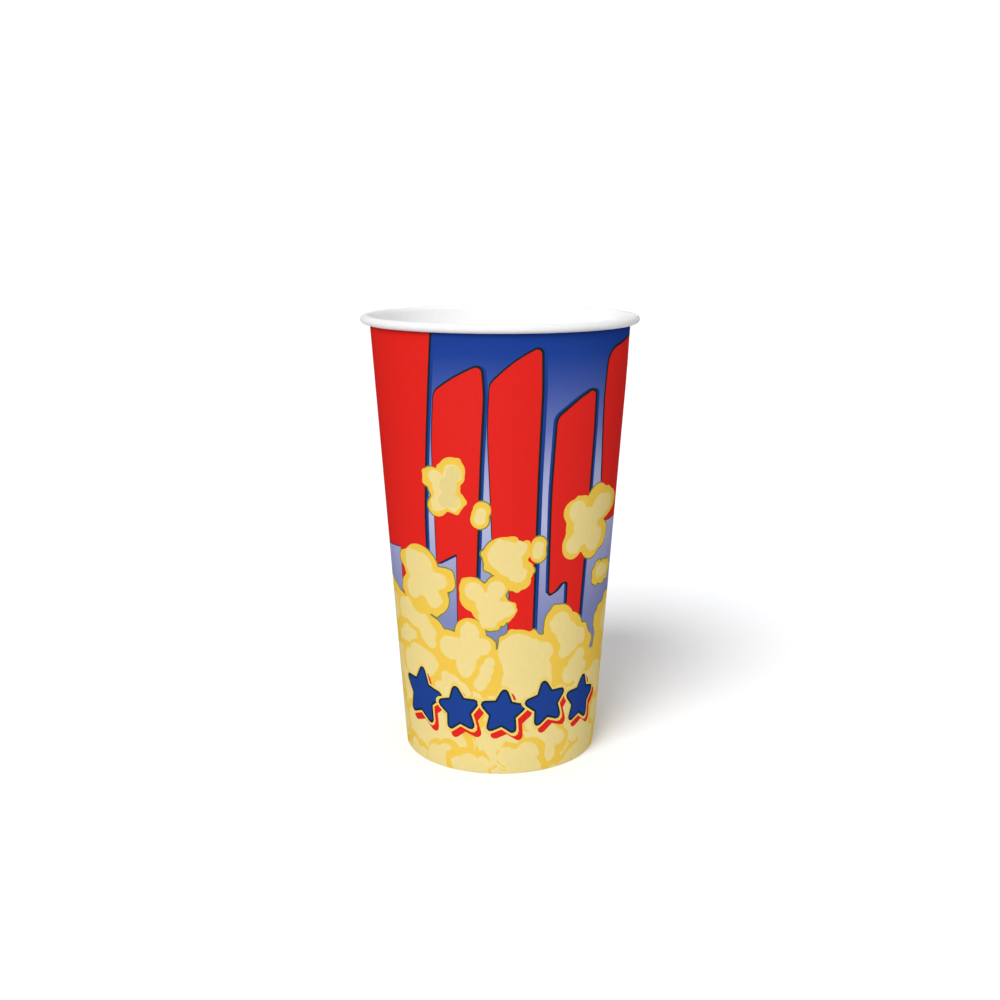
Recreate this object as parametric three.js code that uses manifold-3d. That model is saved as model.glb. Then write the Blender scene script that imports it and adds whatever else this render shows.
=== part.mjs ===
// A tall paper popcorn cup, empty: a tapered paperboard wall with a rolled rim and a lapped side
// seam, and a recessed bottom disc held in the fold at the foot of the wall.
// Millimetres, +Z up. The origin is the centre of the foot ring, on the surface the cup stands on,
// and the front of the cup faces -Y, with the seam at its side, +X.
import * as THREE from "three";
import { mergeVertices } from "three/addons/utils/BufferGeometryUtils.js";
import Module from "manifold-3d";

const wasm = await Module();
wasm.setup();

// Driving dimensions.
const cupHeight = 190.5;
const rimDiameter = 118; // over the roll
const footDiameter = 84.4; // outside the wall, where it meets the surface
const rollWidth = 4.4;
const rollHeight = 3.6;
const board = 0.5; // thickness of the paperboard
const gap = 0.3; // air between two layers of board
const recessDepth = 9; // from the foot up to the underside of the bottom disc
const foldHeight = 8; // how far the foot of the wall is turned up inside
const foldCorner = 0.5; // radius of the fold's corners, at the middle of the board
const discCorner = 0.7; // radius where the bottom disc turns down into its skirt
const seamWidth = 7; // how far one end of the wall blank laps over the other
const seamBed = board / 2; // how deep the lap is sunk into the layer below, so that they join

// How finely the round stretches are stepped.
const facetsAround = 72;
const rollSteps = 14;
const cornerSteps = 3;
const seamSteps = 4;

// The wall's slope follows from the foot and from the inside of the roll.
const rollMiddle = new THREE.Vector2((rimDiameter - rollWidth) / 2, cupHeight - rollHeight / 2);
const wallInsideAtRoll = rimDiameter / 2 - rollWidth;
const slope = (wallInsideAtRoll + board - footDiameter / 2) / rollMiddle.y;
const lean = Math.atan(slope);
const layerPitch = board + gap; // from the middle of one layer of board to the middle of the next
const quarterTurn = Math.PI / 2;

// Radius of the outer face of the wall at height z, and of a surface that far inside it.
const wallRadius = (z, inside = 0) => footDiameter / 2 + slope * z - inside / Math.cos(lean);

// Points on an arc of an ellipse, both ends included, with angles in radians.
function arc(centre, radiusX, radiusY, from, to, steps) {
  return Array.from({ length: steps + 1 }, (_, i) => {
    const angle = from + ((to - from) * i) / steps;
    return new THREE.Vector2(
      centre.x + radiusX * Math.cos(angle),
      centre.y + radiusY * Math.sin(angle),
    );
  });
}

// The unit direction of a line of points where it passes point i.
function direction(line, i) {
  const before = line[Math.max(i - 1, 0)];
  const after = line[Math.min(i + 1, line.length - 1)];
  return after.clone().sub(before).normalize();
}

// The closed outline of a strip of board that follows a middle line: down one side of the line,
// back up the other, and its first point again.
function stripOutline(line) {
  const shifted = (side) =>
    line.map((point, i) => {
      const along = direction(line, i);
      const across = new THREE.Vector2(-along.y, along.x).multiplyScalar((side * board) / 2);
      return point.clone().add(across);
    });
  const outline = [...shifted(-1), ...shifted(1).reverse()];
  return [...outline, outline[0].clone()];
}

// Revolves an outline, given as radius and height, round +Z.
function revolved(outline) {
  return new THREE.LatheGeometry(outline, facetsAround).rotateX(quarterTurn);
}

// The middle line of the wall: from the top of the fold, down round the foot, up the wall and
// round the roll, whose cut edge stops just short of the wall.
function wallLine() {
  const outer = new THREE.Vector2(
    wallRadius(0, board / 2) - foldCorner,
    foldCorner + board / 2,
  );
  const inner = outer.clone().setX(outer.x - 2 * (layerPitch - foldCorner));
  const foldTop = new THREE.Vector2(
    inner.x - foldCorner * Math.cos(lean) + slope * (foldHeight - inner.y),
    foldHeight,
  );
  const rollX = (rollWidth - board) / 2;
  const rollY = (rollHeight - board) / 2;
  const rollStart = Math.PI - Math.atan((rollY / rollX) * slope);
  const edgeRadius = wallRadius(rollMiddle.y - rollHeight / 2) + gap + board / 2;
  const rollEnd = -Math.acos((edgeRadius - rollMiddle.x) / rollX);
  return [
    foldTop,
    ...arc(inner, foldCorner, foldCorner, -2 * quarterTurn - lean, -quarterTurn, cornerSteps),
    ...arc(outer, foldCorner, foldCorner, -quarterTurn, -lean, cornerSteps),
    ...arc(rollMiddle, rollX, rollY, rollStart, rollEnd, rollSteps),
  ];
}

// The outline of the bottom disc, from the axis out and back, with its turned-down skirt, which
// hangs between the wall and the fold.
function discOutline() {
  const top = recessDepth + board;
  const skirtEnd = foldCorner + board + gap;
  const corner = new THREE.Vector2(wallRadius(top, layerPitch) - discCorner, top - discCorner);
  const underCorner = discCorner - board;
  return [
    new THREE.Vector2(0, recessDepth),
    ...arc(corner, underCorner, underCorner, quarterTurn, -lean, cornerSteps),
    new THREE.Vector2(wallRadius(skirtEnd, layerPitch + board), skirtEnd),
    new THREE.Vector2(wallRadius(skirtEnd, layerPitch), skirtEnd),
    ...arc(corner, discCorner, discCorner, -lean, quarterTurn, cornerSteps),
    new THREE.Vector2(0, top),
  ];
}

// The lap of the side seam: a band of board bent round the +X side of the wall, from the foot up to
// the roll.
function seamBand() {
  const low = foldCorner + board;
  const high = cupHeight - rollHeight - gap;
  const band = new THREE.BoxGeometry(seamWidth, high - low, board + seamBed, seamSteps, 1, 1);
  const place = band.getAttribute("position");
  for (let i = 0; i < place.count; i++) {
    const height = (low + high) / 2 + place.getY(i);
    const radius = wallRadius(height) + (board - seamBed) / 2 + place.getZ(i);
    const angle = place.getX(i) / wallRadius(height);
    place.setXYZ(i, radius * Math.cos(angle), radius * Math.sin(angle), height);
  }
  return band;
}

// A closed geometry as a solid that can be joined.
function toSolid(geometry) {
  const bare = geometry.clone();
  bare.deleteAttribute("normal");
  bare.deleteAttribute("uv");
  const merged = mergeVertices(bare, 1e-4);
  return new wasm.Manifold(
    new wasm.Mesh({
      numProp: 3,
      vertProperties: merged.getAttribute("position").array,
      triVerts: new Uint32Array(merged.index.array),
    }),
  );
}

// A joined solid as a geometry again.
function toGeometry(solid) {
  const mesh = solid.getMesh();
  const geometry = new THREE.BufferGeometry();
  geometry.setAttribute("position", new THREE.BufferAttribute(mesh.vertProperties, 3));
  geometry.setIndex(new THREE.BufferAttribute(mesh.triVerts, 1));
  geometry.computeVertexNormals();
  return geometry;
}

// The wall blank rolled up, with its rim, its foot fold and the lap of its seam.
function sidewall() {
  const shell = toSolid(revolved(stripOutline(wallLine())));
  const printedBoard = new THREE.MeshStandardMaterial({
    color: 0xe42a26,
    roughness: 0.45,
    metalness: 0,
  });
  const mesh = new THREE.Mesh(toGeometry(shell.add(toSolid(seamBand()))), printedBoard);
  mesh.name = "sidewall";
  return mesh;
}

function bottomDisc() {
  const plainBoard = new THREE.MeshStandardMaterial({
    color: 0xf8f7f4,
    roughness: 0.55,
    metalness: 0,
  });
  const mesh = new THREE.Mesh(revolved(discOutline()), plainBoard);
  mesh.name = "bottom_disc";
  return mesh;
}

const cup = new THREE.Group();
cup.add(sidewall(), bottomDisc());

export default cup;
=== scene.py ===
import bisect
import math
import random

import bpy
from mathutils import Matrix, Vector
from mathutils.bvhtree import BVHTree
from mathutils.geometry import delaunay_2d_cdt


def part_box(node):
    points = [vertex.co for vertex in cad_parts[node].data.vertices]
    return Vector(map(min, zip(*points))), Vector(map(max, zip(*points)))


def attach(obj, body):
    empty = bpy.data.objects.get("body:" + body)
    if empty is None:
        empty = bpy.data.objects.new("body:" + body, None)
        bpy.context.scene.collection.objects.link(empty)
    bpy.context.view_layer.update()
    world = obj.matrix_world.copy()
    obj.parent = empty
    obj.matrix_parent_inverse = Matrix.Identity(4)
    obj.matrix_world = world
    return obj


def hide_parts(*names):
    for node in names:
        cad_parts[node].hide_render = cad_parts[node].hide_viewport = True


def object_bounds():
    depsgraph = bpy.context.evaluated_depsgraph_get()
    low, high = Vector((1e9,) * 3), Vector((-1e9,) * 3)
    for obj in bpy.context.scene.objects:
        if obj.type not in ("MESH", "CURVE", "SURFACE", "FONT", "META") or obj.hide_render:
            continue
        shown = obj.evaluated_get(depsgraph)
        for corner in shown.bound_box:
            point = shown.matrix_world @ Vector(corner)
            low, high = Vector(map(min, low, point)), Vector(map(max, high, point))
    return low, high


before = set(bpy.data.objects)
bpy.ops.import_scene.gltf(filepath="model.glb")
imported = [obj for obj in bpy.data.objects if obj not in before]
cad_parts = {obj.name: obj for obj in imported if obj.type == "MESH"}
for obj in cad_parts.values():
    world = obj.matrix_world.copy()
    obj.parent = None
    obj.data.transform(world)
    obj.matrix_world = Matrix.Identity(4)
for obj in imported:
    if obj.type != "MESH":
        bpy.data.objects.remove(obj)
cadLow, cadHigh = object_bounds()
discLow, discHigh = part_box("bottom_disc")
mm = 0.001  # lengths in the dictionaries are in millimetres

# The cup as the frame has it. Heights are measured from the surface that it stands on.
cup = {
    "height": cadHigh.z / mm,
    "rimRadius": -cadLow.x / mm,
    "footRadius": 42.2,  # outside the wall
    "rollWidth": 4.4,
    "rollHeight": 3.6,
    "layer": 0.5,  # room that one layer of board takes
    "layerPitch": 0.8,  # from one layer to the next in the foot
    "foldHeight": 8,
    "foldCorner": 0.5,
    "cornerSteps": 4,
    "rollGap": 0.55,  # from the wall to the middle of the roll's inner end
    "rollSteps": 24,
    "board": 0.46,  # the board itself
    "smoothAngle": 40,  # sharper edges than this stay sharp
}
rollMiddle = Vector((cup["rimRadius"] - cup["rollWidth"] / 2, cup["height"] - cup["rollHeight"] / 2))
slope = (cup["rimRadius"] - cup["rollWidth"] + cup["layer"] - cup["footRadius"]) / rollMiddle.y
lean = math.atan(slope)


# Radius of the wall's outer face at a height, and of a surface that far inside it.
def wallRadius(height, inside=0):
    return cup["footRadius"] + slope * height - inside / math.cos(lean)


def selectOnly(piece):
    if bpy.context.object and bpy.context.object.mode != "OBJECT":
        bpy.ops.object.mode_set(mode="OBJECT")
    bpy.ops.object.select_all(action="DESELECT")
    piece.select_set(True)
    bpy.context.view_layer.objects.active = piece


# Colours are given as a printer's 0 to 255 values.
def colourOf(values):
    shares = [value / 255 for value in values]
    linear = [s / 12.92 if s <= 0.04045 else ((s + 0.055) / 1.055) ** 2.4 for s in shares]
    return (*linear, 1)


finish = {
    "inkRoughness": (0.5, 0.62),
    "boardRoughness": (0.55, 0.68),
    "specular": 0.15,
    "mottle": 0.02,  # how far the colour strays to either side
    # A noise is its size, its detail and how much it is drawn out upwards, where 1 is not at all.
    "mottleNoise": (1.6, 3, 0.5),
    "fibreNoise": (0.35, 4, 0.35),
    "waveNoise": (28, 1, 0.6),
    "fibreRelief": 0.012,
    "waveRelief": 0.05,
}
inks = {
    "sky": None,  # blended by height, below
    "shadow": (24, 64, 150),
    "outline": (20, 40, 40),
    "red": (235, 35, 28),
    "olive": (132, 138, 62),
    "gold": (250, 207, 78),
    "cream": (248, 225, 149),
    "shade": (238, 217, 143),
    "keyline": (250, 216, 110),
    "starEdge": (16, 48, 66),
    "starBlue": (27, 66, 150),
}
skyBlend = [  # height and ink
    (68, (133, 141, 194)),
    (88, (161, 164, 207)),
    (112, (192, 194, 228)),
    (130, (172, 175, 218)),
    (148, (114, 125, 190)),
    (160, (84, 102, 178)),
    (168, (60, 86, 168)),
    (178, (28, 66, 156)),
    (187, (18, 62, 154)),
]
plainBoard = (250, 250, 250)


def newNode(tree, kind, **settings):
    node = tree.nodes.new(kind)
    for name, value in settings.items():
        setattr(node, name, value)
    return node


def noiseAt(tree, place, size, detail, stretch):
    mapping = newNode(tree, "ShaderNodeMapping")
    mapping.inputs["Scale"].default_value = (1, 1, stretch)
    tree.links.new(place, mapping.inputs["Vector"])
    noise = newNode(tree, "ShaderNodeTexNoise")
    noise.inputs["Scale"].default_value = 1 / (size * mm)
    noise.inputs["Detail"].default_value = detail
    tree.links.new(mapping.outputs["Vector"], noise.inputs["Vector"])
    return noise.outputs["Fac"]


def heightBlend(tree, place, stops):
    split = newNode(tree, "ShaderNodeSeparateXYZ")
    tree.links.new(place, split.inputs["Vector"])
    share = newNode(tree, "ShaderNodeMapRange")
    share.inputs["From Min"].default_value = stops[0][0] * mm
    share.inputs["From Max"].default_value = stops[-1][0] * mm
    tree.links.new(split.outputs["Z"], share.inputs["Value"])
    ramp = newNode(tree, "ShaderNodeValToRGB")
    span = stops[-1][0] - stops[0][0]
    elements = ramp.color_ramp.elements
    elements[0].color = colourOf(stops[0][1])
    elements[1].color = colourOf(stops[-1][1])
    for height, values in stops[1:-1]:
        elements.new((height - stops[0][0]) / span).color = colourOf(values)
    tree.links.new(share.outputs["Result"], ramp.inputs["Fac"])
    return ramp.outputs["Color"]


# Board and inks share their fibres, so the ink lies on the board's own relief.
def boardMaterial(name, values, roughness):
    material = bpy.data.materials.new(name)
    material.use_nodes = True
    tree = material.node_tree
    shader = tree.nodes["Principled BSDF"]
    shader.inputs["Specular IOR Level"].default_value = finish["specular"]
    place = newNode(tree, "ShaderNodeTexCoord").outputs["Object"]

    mottle = noiseAt(tree, place, *finish["mottleNoise"])
    strength = newNode(tree, "ShaderNodeMapRange")
    strength.inputs["To Min"].default_value = 1 - 2 * finish["mottle"]
    strength.inputs["To Max"].default_value = 1 + 2 * finish["mottle"]
    tree.links.new(mottle, strength.inputs["Value"])
    tint = newNode(tree, "ShaderNodeMix", data_type="RGBA", blend_type="MULTIPLY")
    tint.inputs["Factor"].default_value = 1
    if values:
        tint.inputs["A"].default_value = colourOf(values)
    else:
        tree.links.new(heightBlend(tree, place, skyBlend), tint.inputs["A"])
    tree.links.new(strength.outputs["Result"], tint.inputs["B"])
    tree.links.new(tint.outputs["Result"], shader.inputs["Base Color"])

    fibres = noiseAt(tree, place, *finish["fibreNoise"])
    dullness = newNode(tree, "ShaderNodeMapRange")
    dullness.inputs["To Min"].default_value = roughness[0]
    dullness.inputs["To Max"].default_value = roughness[1]
    tree.links.new(fibres, dullness.inputs["Value"])
    tree.links.new(dullness.outputs["Result"], shader.inputs["Roughness"])

    waves = noiseAt(tree, place, *finish["waveNoise"])
    wavy = newNode(tree, "ShaderNodeBump")
    wavy.inputs["Distance"].default_value = finish["waveRelief"] * mm
    tree.links.new(waves, wavy.inputs["Height"])
    rough = newNode(tree, "ShaderNodeBump")
    rough.inputs["Distance"].default_value = finish["fibreRelief"] * mm
    tree.links.new(fibres, rough.inputs["Height"])
    tree.links.new(wavy.outputs["Normal"], rough.inputs["Normal"])
    tree.links.new(rough.outputs["Normal"], shader.inputs["Normal"])
    return material


inkNames = list(inks)
materials = [boardMaterial(f"ink_{name}", inks[name], finish["inkRoughness"]) for name in inkNames]
materials.append(boardMaterial("plain_board", plainBoard, finish["boardRoughness"]))
print("materials made:", len(materials))


# The print is drawn on the flat blank, in degrees round the cup from its front and in heights on its
# wall, and it goes round the cup twice.
blank = {
    "perDegree": 0.846,  # width of a degree, half way up
    "seam": 90,  # degrees from the front, where the blank's two ends meet
    "lap": 4,  # degrees that each end runs past there
    "column": 2,  # degrees
    "row": 9.5,
    "printTop": 187.8,
    "printUnderFoot": 3,
    "slip": 0.3,  # how much lower the second picture sits, which shows at the seam
}
bars = [  # corners as degrees, height and corner radius
    [
        (-61, 60, 0), (-38.4, 60, 0), (-38.5, 93, 200), (-38, 112, 200), (-34.8, 144, 200), (-29.3, 192, 0),
        (-86.5, 192, 0), (-86.3, 92.6, 0.8), (-58.6, 95.6, 0.6),
    ],
    [
        (-22, 55, 0), (-13.4, 55, 0), (-11.6, 87, 300), (-8.9, 137, 300), (-7.1, 163, 60), (-8, 174.8, 1.9),
        (-20, 169.4, 60), (-29.2, 163.4, 5), (-31.6, 144, 200), (-32.1, 92.2, 0.5), (-20.9, 97.6, 0.4),
    ],
    [
        (3.6, 50, 0), (16.4, 50, 0), (17, 129, 300), (17.8, 164, 80), (17.2, 181.8, 1.7),
        (6, 176.2, 60), (-4.2, 167.4, 6), (-5.3, 150, 200), (-3, 88, 0.5), (5, 92, 0.4),
    ],
    [
        (36.2, 50, 0), (44.4, 50, 0), (46, 104, 300), (46.4, 148, 120), (45.9, 163.8, 1.8),
        (37.6, 160.6, 40), (25.8, 153.2, 5), (24.4, 122, 300), (25, 79.6, 0.9), (28, 80.8, 1.5),
        (31.6, 84, 2), (35.6, 84.4, 2.6),
    ],
    [
        (57.6, 106.4, 0.6), (88.6, 104.6, 0.6), (88.6, 182.4, 3), (76, 182, 90), (54.2, 178.2, 7),
        (53, 158, 120),
    ],
]
barEdges = {  # in the order of the bars
    "outlines": [0.66, 0.66, 0.66, 0.95, 0.66],
    "outlineShifts": [(0.28, 0.28), (0.28, 0.28), (0.28, 0.28), (0.1, 0.2), (-0.3, 0.28)],
    "shadowSpread": 0.5,
    "shadowShifts": [
        [(1.6, 0.5)], [(1.4, 0.3)], [(1.7, 0)], [(-1.3, 0.7), (1.7, 0.5)], [(1.2, 0.5)],
    ],
}


rounding = {
    "steps": 5,
    "most": 0.45,  # share of the shorter side that a rounded corner may take
    "least": 0.02,  # a corner that would lose less than this stays sharp
}


def onBlank(degrees, height):
    return Vector((degrees * blank["perDegree"], height / math.cos(lean)))


# Moves every side of an outline outwards. A corner is a point and the radius that rounds it.
def grown(corners, by):
    result = []
    for i, (point, radius) in enumerate(corners):
        before = (point - corners[i - 1][0]).normalized()
        after = (corners[(i + 1) % len(corners)][0] - point).normalized()
        outwards = Vector((before.y, -before.x)) + Vector((after.y, -after.x))
        bend = before.x * after.y - before.y * after.x
        moved = point + outwards * (by / (1 + before.dot(after)))
        result.append((moved, max(radius + math.copysign(by, bend), 0)))
    return result


def rounded(corners, steps=rounding["steps"]):
    line = []
    for i, (point, radius) in enumerate(corners):
        toHere = point - corners[i - 1][0]
        onwards = corners[(i + 1) % len(corners)][0] - point
        before = toHere.normalized()
        after = onwards.normalized()
        bend = math.atan2(before.x * after.y - before.y * after.x, before.dot(after))
        room = rounding["most"] * min(toHere.length, onwards.length)
        cut = min(radius * math.tan(abs(bend) / 2), room)
        if cut < rounding["least"]:
            line.append(point)
            continue
        radius = cut / math.tan(abs(bend) / 2)
        side = Vector((-before.y, before.x)) * math.copysign(1, bend)
        count = max(2, min(steps, round(abs(bend) * steps)))
        for k in range(count + 1):
            part = abs(bend) * k / count
            swing = before * math.sin(part) + side * (1 - math.cos(part))
            line.append(point - before * cut + swing * radius)
    return line


def shifted(line, by):
    return [point + Vector(by) for point in line]


def barShapes():
    shapes = {"shadow": [], "outline": [], "red": []}
    for i, bar in enumerate(bars):
        corners = [(onBlank(degrees, height), radius) for degrees, height, radius in bar]
        for shift in barEdges["shadowShifts"][i]:
            shapes["shadow"].append(shifted(rounded(grown(corners, barEdges["shadowSpread"])), shift))
        edge = rounded(grown(corners, barEdges["outlines"][i]))
        shapes["outline"].append(shifted(edge, barEdges["outlineShifts"][i]))
        shapes["red"].append(rounded(corners))
    return shapes


# Popped kernels: discs run together, in gold, with a smaller form in cream inside. A disc is how far
# across the blank it is from the front, its height and its radius, and the first one is the middle.
flying = [
    {
        "gold": [
            (-22.4, 125.4, 7.4), (-18.7, 132.2, 5.8), (-27.5, 128.5, 4.8), (-25.5, 117, 4.8),
            (-18.8, 119.5, 5.2),
        ],
        "cream": [
            (-22.4, 125, 5), (-18.4, 131, 3.8), (-26.2, 129, 3), (-25.2, 118, 3.2),
            (-18.8, 119.2, 3.4),
        ],
        "shade": [(-20.4, 125.6, 3.8), (-18, 131, 3.1), (-18.9, 119.6, 3), (-22.4, 119.4, 2.8)],
    },
    {
        "gold": [(-7.8, 114.3, 3.8), (-7, 116.6, 3.8), (-8, 112.4, 4)],
        "cream": [(-7.6, 114, 2.1), (-7.3, 115.4, 2.1), (-8, 112.6, 2.3)],
    },
    {
        "gold": [(15.7, 99.6, 3.5), (15.8, 101.8, 3.6), (15.6, 97.4, 3.7)],
        "cream": [(15.5, 99.3, 2.3), (15.8, 100.7, 2.3), (15.3, 97.9, 2.4)],
    },
    {
        "gold": [
            (3.8, 94, 8), (1.8, 96.8, 9), (9.5, 99.5, 4), (9, 90.5, 4.6), (6.5, 87.5, 5.3),
            (9.5, 86.5, 3.6),
        ],
        "cream": [(3.8, 94, 5.4), (1.6, 97.5, 6.6), (8, 100.5, 3), (7.4, 89.5, 3.5)],
    },
    {
        "gold": [
            (-4.6, 76, 8.4), (-11.7, 82.6, 5.9), (-11.5, 79, 6), (-1, 84.5, 5), (2.5, 74, 4.6),
            (-1, 72, 4.7), (-4.2, 69, 4.2),
        ],
        "cream": [
            (-5, 76.6, 5.2), (-10.8, 82, 4.1), (-1.4, 83.2, 3.7), (2.6, 74.6, 3.4), (-0.6, 74, 4),
            (-5.3, 70, 3.6), (-2, 73, 4),
        ],
    },
    {
        "gold": [
            (-35.9, 84, 9), (-37.2, 88.4, 10.9), (-47.6, 91, 3.8), (-45.6, 78.6, 5.4),
            (-24, 86, 5.2), (-29.5, 77, 7.6), (-38, 76, 8),
        ],
        "cream": [
            (-37, 83, 6.4), (-39, 89, 7), (-42.5, 92.5, 3.8), (-35, 90, 5.4), (-26, 85, 3.2),
            (-31, 84, 5), (-30, 76.5, 4.2), (-42, 79, 4.6),
        ],
    },
    {
        "gold": [
            (39, 107, 11.6), (31.5, 113.5, 5.6), (36, 115, 5.2), (31.5, 100, 5.5), (31.6, 98.5, 5.5),
            (43, 98.5, 7), (49.5, 101, 6.4), (46, 116, 7.8), (53, 114.5, 7), (59, 113.6, 5.4),
            (63.6, 113, 4),
        ],
        "cream": [
            (39, 107, 7.4), (33.5, 113.5, 4.6), (31.8, 99.5, 3.8), (36, 103, 4.5), (44.5, 99.5, 5),
            (47.5, 101, 3.5), (48, 113.5, 5.4), (54, 113.8, 4.2), (57.4, 114, 2.6),
        ],
    },
    {
        "gold": [(55.8, 83, 5.7), (50.5, 83.6, 5.2), (61, 82.8, 4.8), (64.5, 82.8, 3.4)],
        "cream": [(55.4, 83.5, 2.9), (51.8, 84, 3.1), (59.4, 83, 2.1)],
    },
]
heap = [  # from the back to the front
    {
        "gold": [(-74, 54, 9), (-70, 49, 7)],
        "cream": [(-74, 54, 6.4), (-78, 57, 4.4), (-70, 49, 4.6)],
    },
    {
        "gold": [(72, 47, 9), (66, 45, 7)],
        "cream": [(73, 46.6, 5.6), (77, 50, 4), (68.6, 44, 4.4)],
    },
    {
        "gold": [(-66, 69, 10), (-60, 69, 8.4), (-55, 68, 6.4), (-72, 70, 8)],
        "cream": [(-66, 65, 6.4), (-60.5, 67, 5), (-70, 69, 4.4)],
    },
    {
        "gold": [(-44, 67, 7), (-52, 68, 7), (-38, 67, 6), (-33, 63, 6), (-30, 63, 4.6)],
        "cream": [
            (-43, 67, 5.6), (-51, 67, 5.6), (-47, 70, 4), (-38, 64, 5.4), (-34, 60, 4.8),
            (-32.6, 57, 3),
        ],
    },
    {
        "gold": [(-14, 57, 8), (-13, 63.4, 7.2), (-23.5, 57.5, 6.8), (-6.5, 58, 5), (-15, 49, 8)],
        "cream": [
            (-14, 56.5, 6), (-13.2, 63.6, 4.4), (-23, 56.4, 5), (-19, 56, 5), (-7.6, 58, 3.8),
            (-15, 50, 4.6), (-15.6, 46.6, 3.2),
        ],
    },
    {
        "gold": [(-5.4, 47.4, 6), (-4, 51, 4)],
        "cream": [(-6, 47.6, 3.2), (-4.6, 51, 2.4), (-7, 44, 3), (-9, 41, 3)],
    },
    {
        "gold": [
            (32, 62, 8.6), (27, 67, 7.8), (39.4, 57.4, 6.6), (24, 62, 5), (30, 54, 6), (45, 54, 4),
        ],
        "cream": [(31.5, 61, 5.6), (27.6, 66, 5.2), (38.4, 57.4, 4.8), (34, 55.5, 4.6), (30, 53, 3)],
    },
    {
        "gold": [
            (10, 52, 11.4), (8, 56.6, 9.3), (19.5, 57, 5.8), (14, 60.6, 4), (17, 46, 9.4),
            (9, 42, 10),
        ],
        "cream": [
            (10, 50, 9), (7.6, 55.4, 8.4), (19.6, 54.6, 4.6), (14, 56, 5), (16.6, 46, 7.4),
            (9, 42, 8.4), (19, 41, 5),
        ],
    },
    {
        "gold": [(62, 60, 9), (66, 64, 8), (57, 64, 5), (54, 62, 4), (60, 50, 9)],
        "cream": [(64.4, 60, 5), (68, 63, 4.4), (67, 56, 4)],
    },
    {
        "gold": [(-50, 55, 8.6), (-44, 57, 5), (-56, 57, 6)],
        "cream": [(-50, 55.6, 5.4), (-45.6, 56.6, 3.4), (-54.4, 53, 4.6), (-45, 53, 3)],
    },
    {
        "gold": [(38, 46, 7), (34, 43, 6), (41, 49, 5)],
        "cream": [(38, 45, 5.4), (40.4, 49, 3.6), (34.4, 42, 4.4), (41, 42, 5)],
    },
    {
        "gold": [(-61, 42, 10), (-55, 47, 6)],
        "cream": [(-62, 42, 7), (-57, 45, 4.6), (-57, 37, 5)],
    },
    {
        "gold": [(-41, 46, 10.4), (-34, 47, 7), (-50, 45, 8)],
        "cream": [(-41, 45.6, 8.2), (-35, 47, 5.2), (-49, 44, 6), (-44, 49.6, 4.4)],
    },
    {
        "gold": [(-23, 40, 6.6), (-18, 38, 6), (-28, 38, 5)],
        "cream": [(-23, 39.4, 5), (-18.4, 37, 4.4), (-28, 36, 4), (-25.6, 42.6, 2.6)],
    },
    {
        "gold": [(56, 38, 8), (48, 36, 7), (64, 38, 7)],
        "cream": [(56, 36.6, 6), (48.6, 35, 5), (62, 36, 5)],
    },
]
heapRows = {  # the rest of the heap, which is left to chance
    "heights": [29, 16, 1],
    "step": 25.714,  # degrees from one kernel to the next
    "reach": (12, 17),
    "lobes": (4, 6),
    "stray": (6, 4),  # degrees and height
    "border": 2.1,
    "shift": 1.9,  # how far the cream strays in the gold, which then runs thick and thin
    # Shares of a kernel's reach: its middle disc, its lobes, and how far out the lobes come.
    "middle": 0.68,
    "lobeSize": (0.42, 0.56),
    "lobeReach": (0.9, 1.05),
    "lobeStray": 0.25,  # radians
    # What lies under the kernels, as degrees and height.
    "goldGround": [
        (-90, -6), (90, -6), (90, 66), (78, 62), (60, 60), (62.6, 55), (66.2, 50.6), (57, 50), (56, 57),
        (-36, 57), (-39, 64), (-90, 66),
    ],
    "creamGround": [(-90, -6), (90, -6), (90, 36), (-90, 36)],
}
kernel = {
    "crumbs": 18,  # little bumps along a big kernel's outline
    "crumbSize": (0.7, 1.7),
    "crumbDepth": 0.3,  # how far in a bump sits, in its own radius
    "creamCrumbs": 10,
    "creamCrumbSize": (0.6, 1.4),
    "bigOnes": 8,  # reach from the middle
    "trim": 0.3,  # taken off the gold discs, to make room for their bumps and edge
    "oliveEdge": 0.55,
    "outlinePoints": 100,
    "fewerBelow": 12,  # a kernel that reaches less far has fewer points
    "fewerEase": 4,
    "seed": 11,
}


# The outline of discs that overlap, read off along rays from the first one's middle.
def lobedOutline(discs, grow=0):
    middle = discs[0][0]
    around = [(centre - middle, radius + grow) for centre, radius in discs]
    reach = max(offset.length + radius for offset, radius in around)
    share = (reach + kernel["fewerEase"]) / (kernel["fewerBelow"] + kernel["fewerEase"])
    points = round(kernel["outlinePoints"] * min(1, share))
    rays = [2 * math.pi * i / points for i in range(points)]
    rays = [Vector((math.cos(angle), math.sin(angle))) for angle in rays]
    reaches = []
    for ray in rays:
        far = around[0][1]
        for offset, radius in around:
            along = offset.dot(ray)
            inside = radius ** 2 - (offset.length_squared - along * along)
            if inside > 0:
                far = max(far, along + math.sqrt(inside))
        reaches.append(far)
    soft = [(reaches[i - 1] + 4 * reaches[i] + reaches[(i + 1) % points]) / 6 for i in range(points)]
    return [middle + ray * far for ray, far in zip(rays, soft)]


def withCrumbs(discs, count, sizes, draw):
    crumbs = []
    for _ in range(count):
        centre, radius = draw.choice(discs[1:])
        turn = draw.uniform(0, 2 * math.pi)
        size = draw.uniform(*sizes)
        out = radius - size * kernel["crumbDepth"]
        crumbs.append((centre + Vector((math.cos(turn), math.sin(turn))) * out, size))
    return discs + crumbs


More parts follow.
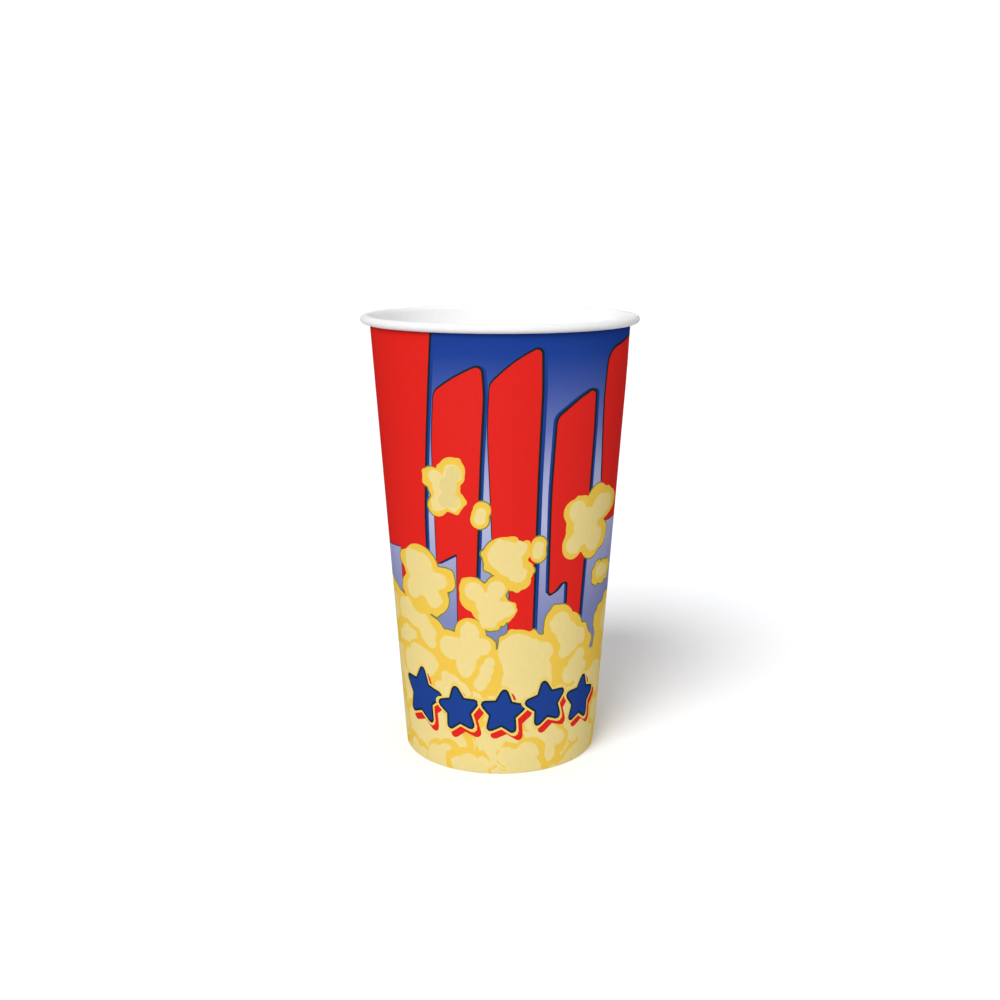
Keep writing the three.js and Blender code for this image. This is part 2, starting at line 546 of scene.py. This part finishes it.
def drawKernel(shapes, spec, draw):
    forms = {}
    for ink, discs in spec.items():
        forms[ink] = [
            (Vector((across, height / math.cos(lean))), radius) for across, height, radius in discs
        ]
    gold = forms["gold"]
    big = max((centre - gold[0][0]).length + radius for centre, radius in gold) > kernel["bigOnes"]
    forms["gold"] = [(centre, radius - kernel["trim"]) for centre, radius in gold]
    if big:
        forms["gold"] = withCrumbs(forms["gold"], kernel["crumbs"], kernel["crumbSize"], draw)
        forms["cream"] = withCrumbs(forms["cream"], kernel["creamCrumbs"], kernel["creamCrumbSize"], draw)
    shapes["olive"].append(lobedOutline(forms["gold"], kernel["oliveEdge"]))
    shapes["kernels"] += [(ink, lobedOutline(discs)) for ink, discs in forms.items()]


def heapKernel(degrees, height, draw):
    reach = draw.uniform(*heapRows["reach"])
    count = draw.randint(*heapRows["lobes"])
    turn = draw.uniform(0, 2 * math.pi)
    aside, up = (draw.uniform(-1, 1) * most for most in heapRows["stray"])
    across, height = (degrees + aside) * blank["perDegree"], height + up
    discs = [(across, height, reach * heapRows["middle"])]
    for i in range(count):
        stray = draw.uniform(-heapRows["lobeStray"], heapRows["lobeStray"])
        angle = turn + 2 * math.pi * i / count + stray
        radius = reach * draw.uniform(*heapRows["lobeSize"])
        out = reach * draw.uniform(*heapRows["lobeReach"]) - radius
        discs.append((across + math.cos(angle) * out, height + math.sin(angle) * out, radius))
    turn = draw.uniform(0, 2 * math.pi)
    aside, up = (heapRows["shift"] * way for way in (math.cos(turn), math.sin(turn)))
    border = heapRows["border"]
    inner = [(across + aside, height + up, radius - border) for across, height, radius in discs]
    return {"gold": discs, "cream": inner}


def kernelShapes(shapes):
    draw = random.Random(kernel["seed"])
    shapes.update({"olive": [], "kernels": []})
    for ink in ("gold", "cream"):
        ground = [onBlank(*corner) for corner in heapRows[f"{ink}Ground"]]
        shapes["kernels"].append((ink, ground))
    perRow = round(180 / heapRows["step"])
    rows = []
    for row, height in enumerate(heapRows["heights"]):
        for i in range(perRow):
            degrees = -90 + heapRows["step"] * (i + row % 2 / 2)
            rows.append(heapKernel(degrees, height, draw))
    for spec in rows[:perRow] + heap + rows[perRow:] + flying:
        drawKernel(shapes, spec, draw)


# A row of plain stars across the heap.
stars = {
    "places": [
        (-49, 31, 13.6), (-23.5, 28.5, 11), (1.5, 28.5, 11), (26, 31, 11), (51.5, 28.5, 11.4),
    ],  # degrees, height and radius
    "waist": 0.5,  # inner radius over outer
    "tilts": [-8, 7, -5, 9, -6],
    "tipRadius": 1,
    "dentRadius": 0.2,
    "edge": 1,
    "keyline": 1.9,
    "cast": 1.5,
    "castShift": (2.5, -2.7),
    "steps": 3,
}


def starCorners(middle, radius, tilt):
    corners = []
    for i in range(10):
        angle = math.radians(90 + tilt + 36 * i)
        length = radius * (1 if i % 2 == 0 else stars["waist"])
        point = middle + Vector((math.cos(angle), math.sin(angle))) * length
        corners.append((point, stars["tipRadius"] if i % 2 == 0 else stars["dentRadius"]))
    return corners


def starShapes():
    order = []
    steps = stars["steps"]
    for (degrees, height, radius), tilt in zip(stars["places"], stars["tilts"]):
        corners = starCorners(onBlank(degrees, height), radius, tilt)
        cast = shifted(rounded(grown(corners, stars["cast"]), steps), stars["castShift"])
        order.append(("red", cast))
        order.append(("keyline", rounded(grown(corners, stars["keyline"]), steps)))
        order.append(("starEdge", rounded(grown(corners, stars["edge"]), steps)))
        order.append(("starBlue", rounded(corners, steps)))
    return order


# Everything that is printed, from the lowest ink to the topmost, as (ink, outline).
def artwork():
    shapes = barShapes()
    kernelShapes(shapes)
    order = [("shadow", line) for line in shapes["shadow"]]
    order += [("outline", line) for line in shapes["outline"]]
    order += [("olive", line) for line in shapes["olive"]]
    order += [("red", line) for line in shapes["red"]]
    return order + shapes["kernels"] + starShapes()


def arc(centre, radiusX, radiusY, start, end, steps):
    turns = [start + (end - start) * i / steps for i in range(steps + 1)]
    return [centre + Vector((radiusX * math.cos(turn), radiusY * math.sin(turn))) for turn in turns]


# Middle of the board as radius and height: down the fold, round the foot, up the wall, round the roll.
def middleLine():
    corner = cup["foldCorner"]
    outer = Vector((wallRadius(0, cup["layer"] / 2) - corner, corner + cup["layer"] / 2))
    inner = Vector((outer.x - 2 * (cup["layerPitch"] - corner), outer.y))
    foldX = inner.x - corner * math.cos(lean) + slope * (cup["foldHeight"] - inner.y)
    foldTop = Vector((foldX, cup["foldHeight"]))
    rollX = (cup["rollWidth"] - cup["layer"]) / 2
    rollY = (cup["rollHeight"] - cup["layer"]) / 2
    rollStart = math.pi - math.atan(rollY / rollX * slope)
    edgeRadius = wallRadius(rollMiddle.y - cup["rollHeight"] / 2) + cup["rollGap"]
    rollEnd = -math.acos((edgeRadius - rollMiddle.x) / rollX)
    fold = arc(inner, corner, corner, -math.pi - lean, -math.pi / 2, cup["cornerSteps"])
    foot = arc(outer, corner, corner, -math.pi / 2, -lean, cup["cornerSteps"])
    wallStart = foot[-1]
    wallEnd = rollMiddle + Vector((rollX * math.cos(rollStart), rollY * math.sin(rollStart)))
    rows = round((wallEnd - wallStart).length / blank["row"])
    wall = [wallStart.lerp(wallEnd, i / rows) for i in range(1, rows)]
    roll = arc(rollMiddle, rollX, rollY, rollStart, rollEnd, cup["rollSteps"])
    return [foldTop] + fold + foot + wall + roll, len(fold) + len(foot)


boardLine, firstOfWall = middleLine()
lengths = [0]
for i in range(1, len(boardLine)):
    lengths.append(lengths[-1] + (boardLine[i] - boardLine[i - 1]).length)
start = boardLine[firstOfWall].y / math.cos(lean) - lengths[firstOfWall]
boardRows = [length + start for length in lengths]  # places along the blank
rollAt = boardRows[-1 - cup["rollSteps"]]


def lineNormal(i):
    along = boardLine[min(i + 1, len(boardLine) - 1)] - boardLine[max(i - 1, 0)]
    return Vector((along.y, -along.x)).normalized()


lineNormals = [lineNormal(i) for i in range(len(boardLine))]

seam = {
    "reach": 12,  # degrees from the seam's middle at which the two ends start to part
    "footRise": 12,  # height in which the upper end comes out to its full lift
    "footSink": 0.3,
    "rollRise": 26,  # height below the roll in which the lap is pressed together
    "rollLift": 0.12,
}


def smoothStep(low, high, value):
    share = min(max((value - low) / (high - low), 0), 1)
    return share * share * (3 - 2 * share)


# Where a point of the flat blank comes to lie once the blank is rolled up. At the seam the upper end
# lies on the lower one. In the foot, where there is no room outside, the lower one gives way instead.
def rolledUp(across, along):
    i = min(max(bisect.bisect_right(boardRows, along) - 1, 0), len(boardRows) - 2)
    share = (along - boardRows[i]) / (boardRows[i + 1] - boardRows[i])
    spot = boardLine[i].lerp(boardLine[i + 1], share)
    normal = lineNormals[i].lerp(lineNormals[i + 1], share).normalized()
    degrees = across / blank["perDegree"]
    over = smoothStep(blank["seam"] - seam["reach"], blank["seam"] - blank["lap"], degrees)
    otherEnd = blank["seam"] - 360
    under = 1 - smoothStep(otherEnd + blank["lap"], otherEnd + seam["reach"], degrees)
    rise = smoothStep(0, seam["footRise"], along)
    pressed = smoothStep(rollAt - seam["rollRise"], rollAt, along)
    raised = cup["layer"] + (seam["rollLift"] - cup["layer"]) * pressed
    spot = spot + normal * (over * rise * raised - under * (1 - rise) * seam["footSink"])
    angle = math.radians(degrees)
    return Vector((spot.x * math.sin(angle), -spot.x * math.cos(angle), spot.y)) * mm


samePoint = 1e-4  # points of the blank that are nearer than this are one


# Lays closed outlines over each other, the last on top, and returns the flat triangles with the ink
# of each, or None outside the first outline.
def layInks(outlines, inkOf):
    points = []
    faces = []
    for line in outlines:
        faces.append(list(range(len(points), len(points) + len(line))))
        points += line
    flat = delaunay_2d_cdt(points, [], faces, 1, samePoint, True)
    shown = [inkOf[max(origins)] if 0 in origins else None for origins in flat[5]]
    return flat[0], [tuple(face) for face in flat[2]], shown


# The edges where one ink meets another, which are all that the finished mesh needs of the outlines.
def inkEdges(triangles, shown):
    sides = {}
    for face, ink in zip(triangles, shown):
        for i in range(3):
            edge = tuple(sorted((face[i - 1], face[i])))
            sides.setdefault(edge, []).append(ink)
    return [edge for edge, found in sides.items() if len(found) == 1 or found[0] != found[1]]


# Cuts the flat blank along the inks' edges and along a grid that lets it bend.
def cutBlank(points, triangles, shown, left, right):
    edges = inkEdges(triangles, shown)
    used = sorted({index for edge in edges for index in edge})
    place = {index: i for i, index in enumerate(used)}
    spots = [points[index] for index in used]
    lines = [(place[a], place[b]) for a, b in edges]
    columns = round((right - left) / blank["perDegree"] / blank["column"])
    ends = []
    for i in range(columns + 1):
        across = left + (right - left) * i / columns
        ends.append((Vector((across, boardRows[0])), Vector((across, boardRows[-1]))))
    for along in boardRows:
        ends.append((Vector((left, along)), Vector((right, along))))
    for ending in ends:
        lines.append((len(spots), len(spots) + 1))
        spots += ending
    flat = delaunay_2d_cdt(spots, lines, [], 0, samePoint, False)
    inked = BVHTree.FromPolygons([point.to_3d() for point in points], triangles)
    faces = []
    inksOfFaces = []
    for face in flat[2]:
        middle = sum((flat[0][i] for i in face), Vector((0, 0))) / 3
        found = inked.ray_cast(Vector((middle.x, middle.y, 1)), Vector((0, 0, -1)))[2]
        ink = shown[found] if found is not None else None
        if ink is not None:
            faces.append(tuple(face))
            inksOfFaces.append(ink)
    return flat[0], faces, inksOfFaces


# Where the blank's faces lie on the map that its print can be baked to: the printed side takes most of
# it, the inside a strip above that, and the cut edges a strip at the top.
bakeMap = {
    "printed": (0.01, 0.87),  # from the bottom of the map, and how much of its height
    "inside": (0.9, 0.07),
    "cutEdges": (0.982, 0.014),
    "besideFace": 0.1,  # left free at either side of a cut edge's face
}


def layFlat(mesh, points, left, right):
    places = mesh.uv_layers.new(name="OFBake").data
    low, room = bakeMap["printed"]
    for corner in mesh.loops:
        point = points[corner.vertex_index]
        height = (point.y - boardRows[0]) / (boardRows[-1] - boardRows[0])
        places[corner.index].uv = ((point.x - left) / (right - left), low + room * height)


def layThickened(mesh, printed):
    places = mesh.uv_layers["OFBake"].data
    low, room = bakeMap["printed"]
    insideLow, insideRoom = bakeMap["inside"]
    edgeLow, edgeRoom = bakeMap["cutEdges"]
    for face in mesh.polygons[printed:2 * printed]:
        for i in face.loop_indices:
            height = (places[i].uv.y - low) / room
            places[i].uv.y = insideLow + insideRoom * height
    cutEdges = mesh.polygons[2 * printed:]
    near, far = bakeMap["besideFace"], 1 - bakeMap["besideFace"]
    for n, face in enumerate(cutEdges):
        for i, (aside, up) in zip(face.loop_indices, [(near, 0), (far, 0), (far, 1), (near, 1)]):
            places[i].uv = ((n + aside) / len(cutEdges), edgeLow + edgeRoom * up)


def rectangle(left, right, low, high):
    return [Vector(corner) for corner in ((left, low), (right, low), (right, high), (left, high))]


def sideWall():
    left = (blank["seam"] - 360 - blank["lap"]) * blank["perDegree"]
    right = (blank["seam"] + blank["lap"]) * blank["perDegree"]
    low, high = boardRows[0], boardRows[-1]
    printLow, printHigh = -blank["printUnderFoot"], blank["printTop"] / math.cos(lean)
    boardInk = len(inkNames)
    outlines = [rectangle(left, right, low, high), rectangle(left, right, printLow, printHigh)]
    inkOf = [boardInk, inkNames.index("sky")]
    picture = artwork()
    print("print:", len(picture), "outlines")
    half = 180 * blank["perDegree"]
    for ink, line in picture:
        for turn in (-2, -1, 0, 1):
            placed = shifted(line, (turn * half, -turn * blank["slip"]))
            if max(point.x for point in placed) > left and min(point.x for point in placed) < right:
                outlines.append(placed)
                inkOf.append(inkNames.index(ink))
    points, triangles, shown = layInks(outlines, inkOf)
    for i, face in enumerate(triangles):  # nothing is printed past the print's own edges
        height = sum(points[index].y for index in face) / 3
        if shown[i] is not None and not printLow < height < printHigh:
            shown[i] = boardInk
    points, triangles, shown = cutBlank(points, triangles, shown, left, right)
    print("printed blank:", len(triangles), "triangles")

    mesh = bpy.data.meshes.new("sidewall_printed")
    mesh.from_pydata([rolledUp(*point) for point in points], [], triangles)
    mesh.polygons.foreach_set("material_index", shown)
    layFlat(mesh, points, left, right)
    for material in materials:
        mesh.materials.append(material)
    wall = bpy.data.objects.new("sidewall_printed", mesh)
    bpy.context.scene.collection.objects.link(wall)
    selectOnly(wall)
    bpy.ops.object.mode_set(mode="EDIT")
    bpy.ops.mesh.select_all(action="SELECT")
    bpy.ops.mesh.delete_loose()
    bpy.ops.object.mode_set(mode="OBJECT")
    thick = wall.modifiers.new("board", "SOLIDIFY")
    thick.thickness = cup["board"] * mm
    thick.offset = 0
    thick.material_offset = len(materials)
    thick.material_offset_rim = len(materials)
    bpy.ops.object.modifier_apply(modifier="board")
    layThickened(wall.data, len(triangles))
    bpy.ops.object.shade_smooth_by_angle(angle=math.radians(cup["smoothAngle"]))
    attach(wall, "root")
    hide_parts("sidewall")
    print("wall:", len(wall.data.polygons), "faces")
    return wall


disc = {
    "board": 0.5,
    "sides": 180,
    "clearance": 0.02,  # between its skirt and the wall
    "rings": (6, 12, 18),  # widths of the rings that let it dish, from the outside
    "dish": 0.35,
    "corner": 0.7,
    "cornerSteps": 4,
    "rim": 0.99,  # an edge further out than this share of the radius is on the rim
}


def selectRing(plate, radius, lowest):
    bpy.ops.object.mode_set(mode="EDIT")
    bpy.ops.mesh.select_all(action="DESELECT")
    bpy.ops.mesh.select_mode(type="EDGE")
    bpy.ops.object.mode_set(mode="OBJECT")
    for edge in plate.data.edges:
        ends = [plate.data.vertices[index].co for index in edge.vertices]
        middle = (ends[0] + ends[1]) / 2
        edge.select = middle.xy.length > radius * disc["rim"] and middle.z > lowest
    bpy.ops.object.mode_set(mode="EDIT")


# A plate with a dished floor, whose skirt is drawn down along the inside of the wall.
def bottomDisc():
    middle = discHigh.z - disc["board"] * mm / 2  # height of the board's middle
    inside = (cup["layer"] + cup["board"] + disc["board"]) / 2 + disc["clearance"]
    radius = wallRadius(discHigh.z / mm, inside) * mm
    bpy.ops.object.select_all(action="DESELECT")
    bpy.ops.mesh.primitive_circle_add(
        vertices=disc["sides"], radius=radius, fill_type="NGON", location=(0, 0, middle)
    )
    plate = bpy.context.object
    plate.name = plate.data.name = "bottom_plain"
    bpy.ops.object.transform_apply(location=True, rotation=True, scale=True)
    bpy.ops.object.mode_set(mode="EDIT")
    bpy.ops.mesh.select_all(action="SELECT")
    for i, width in enumerate(disc["rings"]):
        bpy.ops.mesh.inset(thickness=width * mm, depth=-disc["dish"] * mm / 2 if i else 0)
    selectRing(plate, radius, 0)
    drop = middle - discLow.z
    bpy.ops.mesh.extrude_region_move(TRANSFORM_OT_translate={"value": (0, 0, -drop)})
    inwards = 1 - slope * drop / radius
    bpy.ops.transform.resize(value=(inwards, inwards, 1), center_override=(0, 0, 0))
    selectRing(plate, radius, middle - disc["board"] * mm / 2)
    bpy.ops.mesh.bevel(offset=disc["corner"] * mm, segments=disc["cornerSteps"], affect="EDGES")
    bpy.ops.mesh.select_all(action="SELECT")
    bpy.ops.mesh.normals_make_consistent(inside=False)
    bpy.ops.object.mode_set(mode="OBJECT")
    plate.data.materials.clear()
    plate.data.materials.append(materials[-1])
    thick = plate.modifiers.new("board", "SOLIDIFY")
    thick.thickness = disc["board"] * mm
    thick.offset = 0
    bpy.ops.object.modifier_apply(modifier="board")
    bpy.ops.object.shade_smooth_by_angle(angle=math.radians(cup["smoothAngle"]))
    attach(plate, "root")
    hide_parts("bottom_disc")
    print("disc:", len(plate.data.polygons), "faces")
    return plate


studio = {
    "floor": 60,  # metres across
    "floorColour": (0.692, 0.7, 0.711),
    # A lamp is its degrees round from the front and above the floor, its strength, and its size in degrees.
    "key": (-26, 22, 1.63, 30),
    "side": (60, 0, 0.31, 60),
    "back": (180, -50, 1.5, 30),
    "shadow": (-26, 50, 3.3, 28),
    # Light from all round, by the height it comes from: -1 is straight below, 1 is straight above.
    "around": [(-0.52, 0.83), (-0.48, 0), (0.28, 0), (0.32, 1.35), (0.68, 1.35), (0.72, 0.4)],
    "backdrop": 1.05,
}
view = {
    "place": (0, -0.5316, 0.2290),
    "tiltDown": 12.66,
    "lens": 44.84,
    "sensor": 36,
    "nearest": 0.01,
}


def addFloor():
    bpy.ops.object.select_all(action="DESELECT")
    bpy.ops.mesh.primitive_plane_add(size=studio["floor"], location=(0, 0, 0))
    floor = bpy.context.object
    floor.name = "studio_floor"
    material = bpy.data.materials.new("studio_floor")
    material.use_nodes = True
    shader = material.node_tree.nodes["Principled BSDF"]
    shader.inputs["Base Color"].default_value = (*studio["floorColour"], 1)
    shader.inputs["Roughness"].default_value = 1
    shader.inputs["Specular IOR Level"].default_value = 0
    floor.data.materials.append(material)
    floor.visible_diffuse = False  # the world below stands for the light that it sends back
    floor.visible_glossy = False
    floor.visible_shadow = False
    return floor


def addWorld():
    world = bpy.data.worlds.new("studio")
    bpy.context.scene.world = world
    world.use_nodes = True
    world.cycles_visibility.glossy = False  # only the lamp gives the print its sheen
    tree = world.node_tree
    tree.nodes.clear()
    out = newNode(tree, "ShaderNodeOutputWorld")
    place = newNode(tree, "ShaderNodeTexCoord").outputs["Generated"]
    split = newNode(tree, "ShaderNodeSeparateXYZ")
    tree.links.new(place, split.inputs["Vector"])
    share = newNode(tree, "ShaderNodeMapRange")
    share.inputs["From Min"].default_value = -1
    tree.links.new(split.outputs["Z"], share.inputs["Value"])
    ramp = newNode(tree, "ShaderNodeValToRGB")
    tree.links.new(share.outputs["Result"], ramp.inputs["Fac"])
    brightest = max(strength for height, strength in studio["around"])
    elements = ramp.color_ramp.elements
    elements.remove(elements[1])
    for i, (height, strength) in enumerate(studio["around"]):
        element = elements.new((height + 1) / 2) if i else elements[0]
        element.position = (height + 1) / 2
        element.color = (*[strength / brightest] * 3, 1)
    light = newNode(tree, "ShaderNodeBackground")
    light.inputs["Strength"].default_value = brightest
    tree.links.new(ramp.outputs["Color"], light.inputs["Color"])
    backdrop = newNode(tree, "ShaderNodeBackground")
    backdrop.inputs["Color"].default_value = (1, 1, 1, 1)
    backdrop.inputs["Strength"].default_value = studio["backdrop"]
    pick = newNode(tree, "ShaderNodeMixShader")
    path = newNode(tree, "ShaderNodeLightPath")
    tree.links.new(path.outputs["Is Camera Ray"], pick.inputs["Fac"])
    tree.links.new(light.outputs["Background"], pick.inputs[1])
    tree.links.new(backdrop.outputs["Background"], pick.inputs[2])
    tree.links.new(pick.outputs["Shader"], out.inputs["Surface"])


def addSun(name, azimuth, elevation, strength, size):
    azimuth, elevation = math.radians(azimuth), math.radians(elevation)
    bpy.ops.object.light_add(type="SUN", location=(0, 0, 1))
    sun = bpy.context.object
    sun.name = name
    level = math.cos(elevation)
    towards = Vector((math.sin(azimuth) * level, -math.cos(azimuth) * level, math.sin(elevation)))
    sun.rotation_euler = towards.to_track_quat("Z", "Y").to_euler()
    sun.data.energy = strength
    sun.data.angle = math.radians(size)
    return sun


def lightOnly(lamp, pieces):
    lit = bpy.data.collections.new(f"lit_by_{lamp.name}")
    for piece in pieces:
        lit.objects.link(piece)
    lamp.light_linking.receiver_collection = lit


def addCamera():
    bpy.ops.object.camera_add(location=view["place"], rotation=(math.radians(90 - view["tiltDown"]), 0, 0))
    camera = bpy.context.object
    camera.data.lens = view["lens"]
    camera.data.sensor_width = view["sensor"]
    camera.data.clip_start = view["nearest"]
    bpy.context.scene.camera = camera


def studioSettings():
    scene = bpy.context.scene
    scene.view_settings.view_transform = "Standard"
    scene.view_settings.look = "None"
    scene.view_settings.exposure = 0
    scene.view_settings.gamma = 1


addCamera()
floor = addFloor()
addWorld()
studioSettings()
print("camera, floor and world made")
pieces = [sideWall(), bottomDisc()]
lightOnly(addSun("key_light", *studio["key"]), pieces)
for name in ("side", "back"):
    lamp = addSun(f"{name}_light", *studio[name])
    lamp.data.specular_factor = 0
    lightOnly(lamp, pieces)
lightOnly(addSun("shadow_light", *studio["shadow"]), [floor])
print("lamps made:", len(bpy.data.lights))
